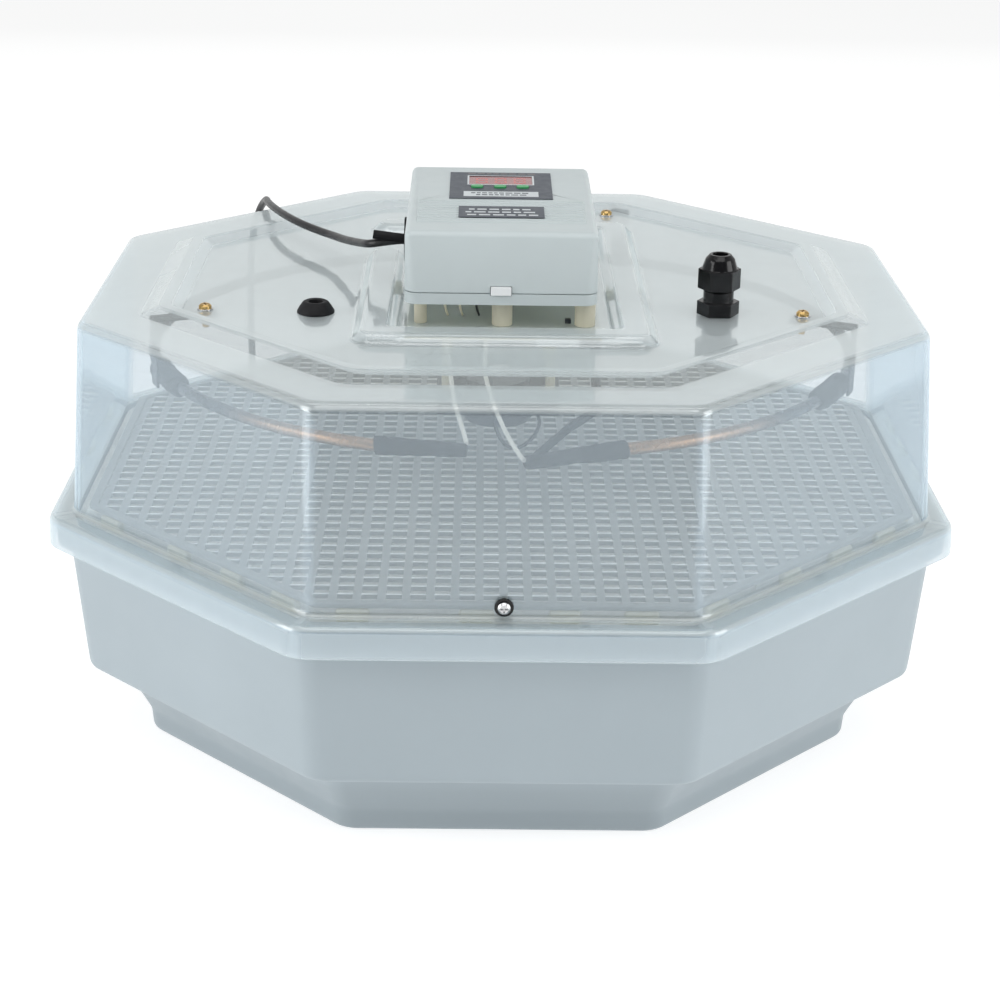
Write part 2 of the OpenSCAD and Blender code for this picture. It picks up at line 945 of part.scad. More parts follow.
base_tub();
base_insulation();
inner_tray();
water_divider();
grid_rests();
egg_grid();
lid_cover();
lid_bead();
vent_plug();
gland_body();
gland_locknut();
gland_seal();
gland_dome_nut();
front_screw();
front_washer();
front_nut();
hanger_screws();
hanger_washers();
hanger_nuts();
heater_hangers();
heater_clamps();
heater_tube();
heater_sleeve_left();
heater_sleeve_right();
heater_lead_left();
heater_lead_right();
fan_mount_plate();
fan_spacers();
fan_frame();
fan_motor();
fan_shaft();
fan_rotor();
fan_lead();
sensor_cable();
sensor_probe();
standoffs();
standoff_screws();
case_base();
case_cover();
case_screws();
front_clip();
power_board();
transformer();
relay();
terminal_block();
display_board();
display_module();
display_window();
button_switches();
button_left();
button_middle();
button_right();
face_label();
rating_label();
cord_bush();
power_cord();
cord_coil();
cord_lower();
power_plug();
plug_pins();
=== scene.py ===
"""Looks of the octagonal egg incubator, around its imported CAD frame. Metres, +Z up, front towards -Y."""
import json
import math
import random

import bmesh
import bpy
from mathutils import Matrix, Vector

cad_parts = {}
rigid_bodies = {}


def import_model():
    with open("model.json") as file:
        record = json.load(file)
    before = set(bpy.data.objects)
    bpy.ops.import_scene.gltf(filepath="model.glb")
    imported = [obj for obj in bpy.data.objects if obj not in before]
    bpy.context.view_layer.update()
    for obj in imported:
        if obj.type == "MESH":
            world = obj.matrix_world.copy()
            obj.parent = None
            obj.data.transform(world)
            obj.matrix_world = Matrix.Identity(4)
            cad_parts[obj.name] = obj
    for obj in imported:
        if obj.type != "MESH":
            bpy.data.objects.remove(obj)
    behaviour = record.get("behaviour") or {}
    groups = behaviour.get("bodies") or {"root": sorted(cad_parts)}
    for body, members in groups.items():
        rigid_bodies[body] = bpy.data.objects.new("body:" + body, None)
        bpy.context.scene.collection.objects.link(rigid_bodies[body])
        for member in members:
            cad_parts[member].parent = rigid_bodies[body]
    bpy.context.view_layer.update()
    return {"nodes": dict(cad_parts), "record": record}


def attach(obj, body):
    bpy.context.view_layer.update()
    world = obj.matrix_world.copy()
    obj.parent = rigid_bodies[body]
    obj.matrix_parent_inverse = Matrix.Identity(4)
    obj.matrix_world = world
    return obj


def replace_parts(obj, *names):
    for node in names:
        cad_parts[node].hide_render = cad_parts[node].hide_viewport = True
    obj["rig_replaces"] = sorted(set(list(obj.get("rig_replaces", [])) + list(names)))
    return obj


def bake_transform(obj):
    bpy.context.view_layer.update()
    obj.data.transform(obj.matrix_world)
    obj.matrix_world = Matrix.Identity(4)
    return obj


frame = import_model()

NODES = frame["nodes"]
RECORD = frame["record"]
SLOT_OF = {part["node"]: part["material_slot"] for part in RECORD["subparts"]}
BODY_OF = {node: body for body, members in RECORD["behaviour"]["bodies"].items() for node in members}
MM = 0.001

# Viewpoint: distance and target in metres, angles in degrees, lens and sensor in millimetres
VIEW_DISTANCE = 1.41927
VIEW_TARGET = Vector((0, 0, 0.12144))
VIEW_ELEVATION = 20.82
VIEW_AZIMUTH = -0.68
VIEW_ROLL = 0.88
VIEW_LENS = 79.16
SENSOR_WIDTH = 36

# Driving sizes, in millimetres, as in part.scad
RIM = 270
FOOT = 217
LID_TOP = 267.6
LID_WALL = 2.2
RIM_Z = 148.1
GRID_APOTHEM = 246
GRID_TOP = 155
BAR_PITCH = 13.2
RUNG_PITCH = 11.6
TILT = math.radians(2)
CASE_X, CASE_FRONT = -2.5, -110
CASE_TOP = 324.7
DISPLAY_Y = 116.6
RATING_Y = 43.2


# ---------------------------------------------------------------- camera

def make_camera():
    """Camera on a sphere round its target, rolled about its own axis."""
    a, e, roll = (math.radians(v) for v in (VIEW_AZIMUTH, VIEW_ELEVATION, VIEW_ROLL))
    back = Vector((math.sin(a) * math.cos(e), -math.cos(a) * math.cos(e), math.sin(e)))
    right = Vector((math.cos(a), math.sin(a), 0))
    up = back.cross(right)
    across = right * math.cos(roll) + up * math.sin(roll)
    upright = up * math.cos(roll) - right * math.sin(roll)
    data = bpy.data.cameras.new("camera")
    data.lens = VIEW_LENS
    data.sensor_width = SENSOR_WIDTH
    camera = bpy.data.objects.new("camera", data)
    bpy.context.scene.collection.objects.link(camera)
    turn = Matrix((across, upright, back)).transposed().to_4x4()
    camera.matrix_world = Matrix.Translation(VIEW_TARGET + back * VIEW_DISTANCE) @ turn
    bpy.context.scene.camera = camera


make_camera()


# ---------------------------------------------------------------- materials

class Tree:
    """Small helper around one material's nodes."""

    def __init__(self, name):
        self.material = bpy.data.materials.new(name)
        self.material.use_nodes = True
        self.nodes = self.material.node_tree.nodes
        self.links = self.material.node_tree.links
        self.nodes.clear()
        self.output = self.nodes.new("ShaderNodeOutputMaterial")
        self.coords = self.nodes.new("ShaderNodeTexCoord").outputs["Object"]

    def add(self, kind, **values):
        """A new node; each value sets the input of that name, or else the node's own property."""
        node = self.nodes.new(kind)
        for key, value in values.items():
            socket = node.inputs.get(key.replace("_", " "))
            if socket is not None:
                socket.default_value = value
            else:
                setattr(node, key, value)
        return node

    def join(self, source, target):
        self.links.new(source, target)

    def axes(self, vector):
        node = self.add("ShaderNodeSeparateXYZ")
        self.join(vector, node.inputs[0])
        return node.outputs

    def noise(self, scale, detail=3.0, rough=0.5):
        node = self.add("ShaderNodeTexNoise", Scale=scale, Detail=detail, Roughness=rough)
        self.join(self.coords, node.inputs["Vector"])
        return node.outputs["Fac"]

    def spread(self, value, low, high, start=0.3, stop=0.7):
        """Maps a value from start..stop to low..high."""
        node = self.add("ShaderNodeMapRange", From_Min=start, From_Max=stop, To_Min=low, To_Max=high)
        self.join(value, node.inputs["Value"])
        return node.outputs["Result"]

    def maths(self, operation, first, second=None):
        node = self.add("ShaderNodeMath", operation=operation)
        for socket, value in zip(node.inputs, (first, second)):
            if isinstance(value, (int, float)):
                socket.default_value = value
            elif value is not None:
                self.join(value, socket)
        return node.outputs[0]

    def blend(self, factor, first, second):
        """Mixes two colours, each a tuple or an output."""
        node = self.add("ShaderNodeMix", data_type="RGBA")
        self.join(factor, node.inputs["Factor"])
        for socket, colour in ((node.inputs[6], first), (node.inputs[7], second)):
            if isinstance(colour, tuple):
                socket.default_value = (*colour, 1)
            else:
                self.join(colour, socket)
        return node.outputs[2]

    def mix(self, factor, first, second):
        """Mixes two shaders' outputs; factor is a number or an output."""
        node = self.add("ShaderNodeMixShader")
        if isinstance(factor, float):
            node.inputs["Fac"].default_value = factor
        else:
            self.join(factor, node.inputs["Fac"])
        self.join(first, node.inputs[1])
        self.join(second, node.inputs[2])
        return node.outputs[0]

    def bump(self, height, strength, distance):
        node = self.add("ShaderNodeBump", Strength=strength, Distance=distance)
        self.join(height, node.inputs["Height"])
        return node.outputs["Normal"]

    def finish(self, surface):
        self.join(surface, self.output.inputs["Surface"])
        return self.material


def shade(colour, factor):
    return tuple(min(1.0, max(0.0, c * factor)) for c in colour)


COAT_ROUGHNESS = 0.12
SUBSURFACE_RADIUS = (0.004, 0.004, 0.005)
GRIME_SHADE = 0.55
# Heights in metres over which the painted shade at the foot fades out
PAINTED_FOOT_SHADE_LEVELS = (0.03, 0.055)
# Depths in metres over which the front colour, partly a painted highlight, takes over
FRONT_TINT_AND_HIGHLIGHT_LIMITS = (-0.195, -0.15)


def moulded(name, colour, rough=(0.3, 0.42), vary=0.04, patch=14, grain=900, bump=0.15, depth=0.00008,
            metal=0.0, coat=0.0, specular=0.5, subsurface=0.0, dirt=0.0, through=0.0, foot=1.0, front=None):
    """A procedural surface: slow colour drift, fine moulded grain, uneven gloss and a little grime.

    vary is the drift's share of the colour. patch and grain are the scales of the drift and the grain. bump and
    depth are the grain's strength and height. through is the share of light let through. foot is a painted shade
    that darkens the lowest part of the object, and front is the colour of what lies towards the front, partly the
    thing's own tint and partly a painted highlight.
    """
    t = Tree(name)
    shader = t.add("ShaderNodeBsdfPrincipled", Metallic=metal, Specular_IOR_Level=specular, Coat_Weight=coat,
                   Coat_Roughness=COAT_ROUGHNESS)
    if subsurface:
        shader.inputs["Subsurface Weight"].default_value = subsurface
        shader.inputs["Subsurface Radius"].default_value = SUBSURFACE_RADIUS
    drift = t.spread(t.noise(patch, 4, 0.55), 0, 1)
    tone = t.blend(drift, shade(colour, 1 - vary), shade(colour, 1 + vary))
    if dirt:
        specks = t.spread(t.noise(patch * 9, 6, 0.7), 0, dirt, 0.55, 0.8)
        tone = t.blend(specks, tone, shade(colour, GRIME_SHADE))
    # Painted shade: darker towards the bottom, for the shade under the step above the foot
    if foot < 1:
        tone = t.blend(t.spread(t.axes(t.coords)["Z"], 0, 1, *PAINTED_FOOT_SHADE_LEVELS), shade(colour, foot), tone)
    # Front colour: partly the thing's own tint, partly a painted highlight on what lies towards the front
    if front:
        tone = t.blend(t.spread(t.axes(t.coords)["Y"], 1, 0, *FRONT_TINT_AND_HIGHLIGHT_LIMITS), tone, front)
    t.join(tone, shader.inputs["Base Color"])
    t.join(t.spread(t.noise(patch * 5, 5, 0.6), *rough), shader.inputs["Roughness"])
    t.join(t.bump(t.noise(grain, 2), bump, depth), shader.inputs["Normal"])
    surface = shader.outputs["BSDF"]
    if through:
        glow = t.add("ShaderNodeBsdfTranslucent", Color=(*shade(colour, 1.1), 1))
        surface = t.mix(through, surface, glow.outputs[0])
    return t.finish(surface)


HAZE = 0.125
GRAZED_HAZE = 5 * HAZE
# The first and third are painted highlights: extra milk at the octagon's corners and on the bent shoulders
CORNER_PAINTED_HIGHLIGHT, SKIRT_HAZE, SHOULDER_PAINTED_HIGHLIGHT, TOP_HAZE = 0.12, 0.16, 0.26, 0.55
SKIRT_LEVELS = (0.1455, 0.15)
SHOULDER_LEVELS = (0.255, 0.262)
UPPER_LEVELS = (0.155, 0.26)
CLEAR_TINT = (0.97, 0.975, 0.975)
WALL_MILK, FLAT_MILK = (0.74, 0.88, 1.0), (0.84, 0.905, 0.925)
WALL_MIRROR, FLAT_MIRROR = (0.86, 0.95, 1.0), (0.97, 1.0, 1.0)
CLEAR_GLOSS = 0.07
LEAST_MIRROR = 0.1


def clear_plastic(name):
    """Thin clear sheet: mirrors by angle, lets light straight through, and has a milky haze.

    The haze is thicker on the skirt and where the flat top is seen at a low angle. Extra haze at the octagon's
    corners and on the bent shoulders is a painted highlight, for the bright lines that the curved plastic shows
    there. Walls are bluer than flat stretches.
    """
    t = Tree(name)
    facing = t.add("ShaderNodeLayerWeight", Blend=0.5).outputs["Facing"]
    grazed = t.maths("POWER", facing, 3)
    place_axes = t.axes(t.coords)
    slope = t.maths("ABSOLUTE", t.axes(t.add("ShaderNodeNewGeometry").outputs["Normal"])["Z"])
    low = t.spread(place_axes["Z"], 1, 0, *SKIRT_LEVELS)
    flatness = t.maths("MAXIMUM", t.spread(slope, 0, 1, 0.1, 0.4), t.maths("MULTIPLY", low, 0.6))

    milk = t.add("ShaderNodeBsdfDiffuse")
    glow = t.add("ShaderNodeBsdfTranslucent")
    milkiness = t.blend(flatness, WALL_MILK, FLAT_MILK)
    for layer in (milk, glow):
        t.join(milkiness, layer.inputs["Color"])
    soft = t.mix(0.5, milk.outputs[0], glow.outputs[0])

    turn = t.maths("ARCTAN2", place_axes["Y"], place_axes["X"])
    off_corner = t.maths("PINGPONG", t.maths("ADD", t.maths("MULTIPLY", turn, 4 / math.pi), 0.5), 0.5)
    side = t.spread(place_axes["Z"], 1, 0, *SHOULDER_LEVELS)
    # Painted highlight: a thin bright line of milk down each corner of the octagon
    corner = t.maths("MULTIPLY", t.spread(off_corner, CORNER_PAINTED_HIGHLIGHT, 0, 0.006, 0.02), side)
    skirt = t.maths("MULTIPLY", low, SKIRT_HAZE)
    # Painted highlight: extra milk on the bent shoulders and bead slopes
    bent = t.maths("MULTIPLY", t.spread(slope, 0, SHOULDER_PAINTED_HIGHLIGHT, 0.12, 0.45), t.spread(slope, 1, 0, 0.8, 0.9))
    upper = t.spread(place_axes["Z"], 0, TOP_HAZE, *UPPER_LEVELS)
    flat = t.maths("MULTIPLY", t.maths("MULTIPLY", t.spread(slope, 0, 1, 0.94, 0.99), upper), grazed)
    patchy = t.spread(t.noise(7, 4, 0.6), 0.75 * HAZE, 1.25 * HAZE)
    slanted = t.maths("MULTIPLY", grazed, GRAZED_HAZE)
    edges = t.maths("ADD", t.maths("ADD", corner, skirt), t.maths("ADD", bent, flat))
    haze = t.maths("ADD", t.maths("ADD", patchy, slanted), edges)

    see = t.add("ShaderNodeBsdfTransparent", Color=(*CLEAR_TINT, 1))
    cloudy = t.mix(haze, see.outputs[0], soft)
    mirror = t.add("ShaderNodeBsdfGlossy", Roughness=CLEAR_GLOSS)
    t.join(t.blend(flatness, WALL_MIRROR, FLAT_MIRROR), mirror.inputs["Color"])
    t.join(t.bump(t.noise(16), 0.3, 0.0012), mirror.inputs["Normal"])
    mirrored = t.spread(t.maths("POWER", facing, 5), LEAST_MIRROR, 1, 0, 1)
    return t.finish(t.mix(mirrored, cloudy, mirror.outputs[0]))


def foamed(name, colour):
    """Foam with a cell pattern."""
    t = Tree(name)
    shader = t.add("ShaderNodeBsdfPrincipled", Roughness=0.85)
    cells = t.add("ShaderNodeTexVoronoi", Scale=320.0)
    t.join(t.coords, cells.inputs["Vector"])
    off_centre = cells.outputs["Distance"]
    tone = t.blend(t.spread(off_centre, 0, 1, 0.1, 0.6), shade(colour, 1.05), shade(colour, 0.88))
    t.join(tone, shader.inputs["Base Color"])
    t.join(t.bump(off_centre, 0.5, 0.0006), shader.inputs["Normal"])
    return t.finish(shader.outputs["BSDF"])


SURFACES = {
    # The tub's foot value paints shade on its lowest part
    "tub_plastic": dict(colour=(0.385, 0.445, 0.48), rough=(0.34, 0.46), vary=0.025, patch=9, grain=700, bump=0.12,
                        specular=0.2, subsurface=0.05, foot=0.85),
    "tray_plastic": dict(colour=(0.96, 0.96, 0.93), patch=12, grain=700, bump=0.1),
    # The grid's bars and its ridges are shaded and lit copies of one plastic: the bars are kept darker as painted
    # shade
    "grid_plastic": dict(colour=(0.43, 0.45, 0.45), rough=(0.25, 0.38), vary=0.05, patch=22, grain=800, bump=0.1,
                         through=0.35),
    # The ridges' near-white, glossier copy of the grid plastic is a painted highlight on the cross bars' tops
    "grid_ridges_painted_highlight": dict(colour=(0.93, 0.95, 0.96), rough=(0.12, 0.22), vary=0.03, patch=22, grain=800, bump=0.05,
                        coat=0.5),
    "black_rubber": dict(colour=(0.009, 0.009, 0.011), rough=(0.5, 0.65), vary=0.3, patch=60, grain=1500, bump=0.3,
                         dirt=0.1, specular=0.25),
    "black_plastic": dict(colour=(0.006, 0.006, 0.007), rough=(0.12, 0.22), vary=0.25, patch=80, grain=1500,
                          bump=0.1, specular=0.35),
    "steel": dict(colour=(0.62, 0.62, 0.63), rough=(0.2, 0.36), vary=0.1, patch=200, grain=2500, bump=0.2,
                  metal=1.0),
    "brass": dict(colour=(0.62, 0.42, 0.17), rough=(0.2, 0.38), vary=0.2, patch=160, grain=2500, bump=0.25,
                  metal=1.0, dirt=0.3),
    "dark_metal": dict(colour=(0.05, 0.055, 0.065), rough=(0.35, 0.55), vary=0.3, patch=60, grain=1500, bump=0.3,
                       metal=0.6),
    # Its front colour is copper: partly the tube's own tint, partly a painted warm highlight near the sleeves
    "heater_metal": dict(colour=(0.07, 0.075, 0.085), rough=(0.2, 0.34), vary=0.3, patch=22, grain=1600, bump=0.25,
                         metal=0.9, dirt=0.35, front=(0.36, 0.22, 0.13)),
    "white_wire": dict(colour=(0.8, 0.79, 0.74), rough=(0.4, 0.55), vary=0.06, patch=60, grain=1500, bump=0.2),
    "black_wire": dict(colour=(0.02, 0.021, 0.026), rough=(0.35, 0.5), vary=0.25, patch=60, grain=1500, bump=0.2),
    "cream_plastic": dict(colour=(0.86, 0.83, 0.7), rough=(0.35, 0.5), vary=0.03, patch=30, grain=1200,
                          through=0.4),
    # A lighter copy of the cream plastic that lets more light through: its lighter colour is painted light on the
    # plate in the box's shadow
    "mount_plate": dict(colour=(0.93, 0.9, 0.8), rough=(0.4, 0.55), vary=0.03, patch=30, grain=1200, through=0.7),
    "fan_plastic": dict(colour=(0.03, 0.036, 0.05), rough=(0.3, 0.45), vary=0.2, patch=50, grain=1200, bump=0.2),
    "case_plastic": dict(colour=(0.53, 0.59, 0.60), rough=(0.34, 0.46), vary=0.02, patch=18, grain=2600, bump=0.35,
                         depth=0.00004),
    "white_plastic": dict(colour=(0.82, 0.84, 0.85), vary=0.03, patch=40, grain=1500),
    "board_green": dict(colour=(0.02, 0.13, 0.05), rough=(0.25, 0.4), vary=0.15, patch=60, bump=0.2, coat=0.4),
    "coil_yellow": dict(colour=(0.65, 0.42, 0.06), rough=(0.4, 0.55), vary=0.1, patch=60, bump=0.2),
    "relay_blue": dict(colour=(0.03, 0.1, 0.4), rough=(0.3, 0.45), vary=0.08, patch=60, bump=0.2),
    "terminal_green": dict(colour=(0.03, 0.3, 0.1), rough=(0.3, 0.45), vary=0.08, patch=60, bump=0.2),
    "display_black": dict(colour=(0.02, 0.02, 0.02), rough=(0.3, 0.4), vary=0.2, patch=60, bump=0.2),
    "display_red": dict(colour=(0.27, 0.045, 0.05), rough=(0.16, 0.26), vary=0.08, patch=60, bump=0.05, coat=0.4),
    "display_segments": dict(colour=(0.52, 0.10, 0.10), rough=(0.2, 0.3), vary=0.06, patch=60, bump=0.05),
    "button_green": dict(colour=(0.05, 0.36, 0.12), vary=0.08, patch=90, grain=1500),
    "label_grey": dict(colour=(0.054, 0.066, 0.088), rough=(0.38, 0.5), vary=0.08, patch=40, grain=2200, bump=0.3),
    "label_print": dict(colour=(0.62, 0.66, 0.68), rough=(0.4, 0.5), vary=0.05, patch=60, grain=2200, bump=0.2),
    "faint_print": dict(colour=(0.17, 0.15, 0.15), rough=(0.4, 0.5), vary=0.05, patch=60, grain=2200, bump=0.2),
    "cord_black": dict(colour=(0.012, 0.012, 0.014), rough=(0.3, 0.44), vary=0.3, patch=60, grain=1400, bump=0.2),
    "pin_metal": dict(colour=(0.7, 0.68, 0.62), rough=(0.18, 0.3), vary=0.06, patch=120, grain=2000, metal=1.0),
}
MATERIALS = {name: moulded(name, **look) for name, look in SURFACES.items()}
MATERIALS["clear_plastic"] = clear_plastic("clear_plastic")
MATERIALS["foam"] = foamed("foam", (0.85, 0.78, 0.6))


# ---------------------------------------------------------------- mesh tools

WELD_DISTANCE = 2e-6


def new_object(name, bm, material):
    bmesh.ops.recalc_face_normals(bm, faces=bm.faces)
    mesh = bpy.data.meshes.new(name)
    bm.to_mesh(mesh)
    bm.free()
    for polygon in mesh.polygons:
        polygon.use_smooth = True
    obj = bpy.data.objects.new(name, mesh)
    bpy.context.scene.collection.objects.link(obj)
    mesh.materials.append(material)
    return obj


def mark_sharp(bm, angle):
    limit = math.radians(angle)
    for edge in bm.edges:
        if len(edge.link_faces) == 2 and edge.calc_face_angle(0) > limit:
            edge.smooth = False


def place(obj, slot, body, *nodes):
    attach(obj, body)
    if nodes:
        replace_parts(obj, *nodes)
    return obj


def add_bevel(obj, width, segments=2, angle=35):
    bevel = obj.modifiers.new("bevel", "BEVEL")
    bevel.width = width * MM
    bevel.segments = segments
    bevel.limit_method = "ANGLE"
    bevel.angle_limit = math.radians(angle)
    bevel.miter_outer = "MITER_ARC"
    weighted = obj.modifiers.new("normals", "WEIGHTED_NORMAL")
    weighted.keep_sharp = True
    return obj


def octagon_loop(a, z, r, side_steps, corner_steps):
    """Points of a rounded octagon with apothem a, in millimetres, anticlockwise from above."""
    vertex = (a - r) / math.cos(math.radians(22.5))
    arcs = []
    for k in range(8):
        mid = math.radians(22.5 + 45 * k)
        centre = Vector((vertex * math.cos(mid), vertex * math.sin(mid), z))
        arc = []
        for s in range(corner_steps + 1):
            t = math.radians(45 * k + 45 * s / corner_steps)
            arc.append(centre + Vector((r * math.cos(t), r * math.sin(t), 0)))
        arcs.append(arc)
    loop = []
    for k, arc in enumerate(arcs):
        loop += arc
        start, stop = arc[-1], arcs[(k + 1) % 8][0]
        loop += [start.lerp(stop, s / side_steps) for s in range(1, side_steps)]
    return loop


def sweep_rings(bm, rings, close=False):
    """Skins a list of point loops given in millimetres; its ends are capped, or joined if close is set."""
    rows = [[bm.verts.new(p * MM) for p in ring] for ring in rings]
    n = len(rows[0])
    pairs = list(zip(rows, rows[1:]))
    if close:
        pairs.append((rows[-1], rows[0]))
    for low, high in pairs:
        for j in range(n):
            k = (j + 1) % n
            bm.faces.new((low[j], low[k], high[k], high[j]))
    if not close:
        bm.faces.new(list(reversed(rows[0])))
        bm.faces.new(rows[-1])


def rounded_profile(points, steps):
    """Rounds an outline's corners.

    points are (apothem, z, fillet, corner radius); the result is [(apothem, z, corner radius)].
    """
    out = []
    for i, (x, z, fillet, radius) in enumerate(points):
        if not fillet or i in (0, len(points) - 1):
            out.append((x, z, radius))
            continue
        here = Vector((x, z))
        before, after = Vector(points[i - 1][:2]), Vector(points[i + 1][:2])
        into, away = (before - here).normalized(), (after - here).normalized()
        half = into.angle(away) / 2
        reach = min(fillet / math.tan(half), (before - here).length * 0.48, (after - here).length * 0.48)
        start, stop = here + into * reach, here + away * reach
        for s in range(steps + 1):
            t = s / steps
            p = start * (1 - t) ** 2 + here * 2 * t * (1 - t) + stop * t * t
            out.append((p.x, p.y, radius))
    return out


def smooth_path(points, steps=6):
    """Catmull-Rom curve through points."""
    out = []
    n = len(points) - 1
    for i in range(n):
        a, b = points[max(i - 1, 0)], points[i]
        c, d = points[i + 1], points[min(i + 2, n)]
        for s in range(steps):
            t = s / steps
            out.append(0.5 * (2 * b + (c - a) * t + (2 * a - 5 * b + 4 * c - d) * t * t
                              + (3 * b - a - 3 * c + d) * t ** 3))
    out.append(points[n].copy())
    return out


def tube(bm, path, radius, sides):
    """Skins a closed round tube along path.

    radius is a number, or a function of the share along the path that gives a width and a height.
    """
    n = len(path)
    side = None
    rings = []
    for i, p in enumerate(path):
        along = (path[min(i + 1, n - 1)] - path[max(i - 1, 0)]).normalized()
        if side is None:
            helper = Vector((0, 0, 1)) if abs(along.z) < 0.9 else Vector((1, 0, 0))
            side = along.cross(helper).normalized()
        side = (side - along * side.dot(along)).normalized()
        other = along.cross(side)
        wide, tall = radius(i / (n - 1)) if callable(radius) else (radius, radius)
        rings.append([
            bm.verts.new(p + side * (wide * math.cos(a)) + other * (tall * math.sin(a)))
            for a in (2 * math.pi * j / sides for j in range(sides))
        ])
    for low, high in zip(rings, rings[1:]):
        for j in range(sides):
            k = (j + 1) % sides
            bm.faces.new((low[j], low[k], high[k], high[j]))
    bm.faces.new(list(reversed(rings[0])))
    bm.faces.new(rings[-1])


def block(bm, low, high, turn=Matrix.Identity(4)):
    """Closed box between two corners, in millimetres; turn is a matrix in millimetres."""
    low, high = Vector(low), Vector(high)
    size, middle = high - low, (low + high) / 2
    for v in bmesh.ops.create_cube(bm, size=1)["verts"]:
        v.co = (turn @ (v.co * size + middle)) * MM


def finished(node, bevel, segments=2, material=None):
    """A refined copy of a CAD node: welded, softly shaded, with its sharp edges broken."""
    sharp_angle = 32
    bm = bmesh.new()
    bm.from_mesh(NODES[node].data)
    bmesh.ops.remove_doubles(bm, verts=bm.verts, dist=WELD_DISTANCE)
    mark_sharp(bm, sharp_angle)
    obj = new_object(node + "_finished", bm, material or MATERIALS[SLOT_OF[node]])
    if bevel:
        add_bevel(obj, bevel, segments, sharp_angle)
    return place(obj, SLOT_OF[node], BODY_OF[node], node)


# ---------------------------------------------------------------- cord

# Route from the box over the lid's edge to the table, and from the coil to the plug
CORD_RADIUS = 2.5
CORD_POINTS = [
    (-58, -20, 298), (-66, -20, 297.2), (-74, -19.5, 296), (-82, -16, 294), (-87, -5, 291.5), (-93, 12, 288),
    (-101, 34, 284), (-110, 55, 281.3), (-120, 71, 280.4), (-133, 90, 280.4), (-145, 113, 280.2),
    (-155, 140, 279), (-161, 165, 276.4), (-165, 188, 272.6), (-171, 202, 262), (-176, 208, 245),
    (-179, 212, 220), (-180, 213, 180), (-180, 213, 130), (-180, 213, 80), (-181, 215, 45), (-182, 219, 24),
    (-177, 226, 10), (-162, 231, 3.6), (-146, 232.5, 2.6), (-131, 232.5, 2.6), (-118, 232.5, 2.6),
]
TAIL_POINTS = [
    (-105, 235, 6.85), (-96, 235, 6.85), (-88, 235, 6.8), (-80, 235, 6.8), (-72, 235.5, 6.9), (-64, 236, 7),
    (-58, 236, 7),
]
COIL = (-105, 265)
COIL_TURNS = [32.5, 27.5, 22.5, 25, 30]
TURNS_ON_TABLE = 3
TABLE_LEVEL, GROOVE_LEVEL = 2.6, 6.85


def coil_path():
    """Turns of the coil: three side by side on the table and two in their grooves."""
    steps = 36
    levels = [TABLE_LEVEL if i < TURNS_ON_TABLE else GROOVE_LEVEL for i in range(len(COIL_TURNS))]
    turns = list(zip(COIL_TURNS, levels))
    out = []
    for (radius, level), (next_radius, next_level) in zip(turns, turns[1:] + turns[-1:]):
        for s in range(steps):
            t = s / steps
            shift = max(0.0, (t - 0.75) / 0.25)
            shift = shift * shift * (3 - 2 * shift)
            r = radius + (next_radius - radius) * shift
            z = level + (next_level - level) * shift
            a = math.radians(-90) + 2 * math.pi * t
            out.append(Vector((COIL[0] + r * math.cos(a), COIL[1] + r * math.sin(a), z)) * MM)
    return out


def make_cord(pieces):
    """The whole mains cord in one tube; pieces are what sits on it, and are not used."""
    lead = smooth_path([Vector(p) * MM for p in CORD_POINTS])
    tail = smooth_path([Vector(p) * MM for p in TAIL_POINTS], 4)
    path = lead + coil_path() + tail
    bm = bmesh.new()
    tube(bm, path, CORD_RADIUS * MM, 14)
    cord = new_object("mains_cord", bm, MATERIALS["cord_black"])
    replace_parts(cord, "power_cord", "cord_coil", "cord_lower")
    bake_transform(cord)


make_cord([finished("power_plug", 1.2, 3), finished("plug_pins", 0.4, 3), finished("cord_bush", 0.3)])


# ---------------------------------------------------------------- base

def make_tub():
    """Outer shell: stepped foot, sloping wall and flat flange, all swept round a rounded octagon."""
    foot_inside = FOOT - 3
    flange = RIM - 4.4
    flange_under = 131.5
    outline = rounded_profile([
        # Underside, foot and the step above it
        (0, 0, 0, 1), (FOOT - 1, 0, 5, 18), (FOOT, 14, 14, 18), (FOOT + 5.5, 25, 14, 19), (233, 44, 14, 19),
        # Outer wall and flange
        (251, 49.5, 5.5, 20), (252.2, 62, 0, 20), (258, 130.4, 1.5, 20), (flange - 0.2, flange_under, 1.2, 22),
        (flange, RIM_Z, 3.5, 22),
        # Inner wall, step and floor
        (255.2, RIM_Z, 0.7, 19), (254.6, flange_under, 1, 18), (249, 56.5, 5, 17), (232, 47.5, 8, 16),
        (219, 27, 8, 16), (foot_inside, 14, 8, 15), (foot_inside - 0.4, 3, 4, 14), (0, 3, 0, 1),
    ], 6)
    bm = bmesh.new()
    sweep_rings(bm, [octagon_loop(a, z, r, 10, 9) for a, z, r in outline if a > 0])
    place(new_object("tub_shell", bm, MATERIALS["tub_plastic"]), "tub_plastic", "base", "base_tub")


def bar_edges(pitch, half_width):
    """Both edges of every bar across the grid, from one side to the other."""
    count = int(GRID_APOTHEM / pitch) + 1
    return [i * pitch + edge for i in range(-count, count + 1) for edge in (-half_width, half_width)]


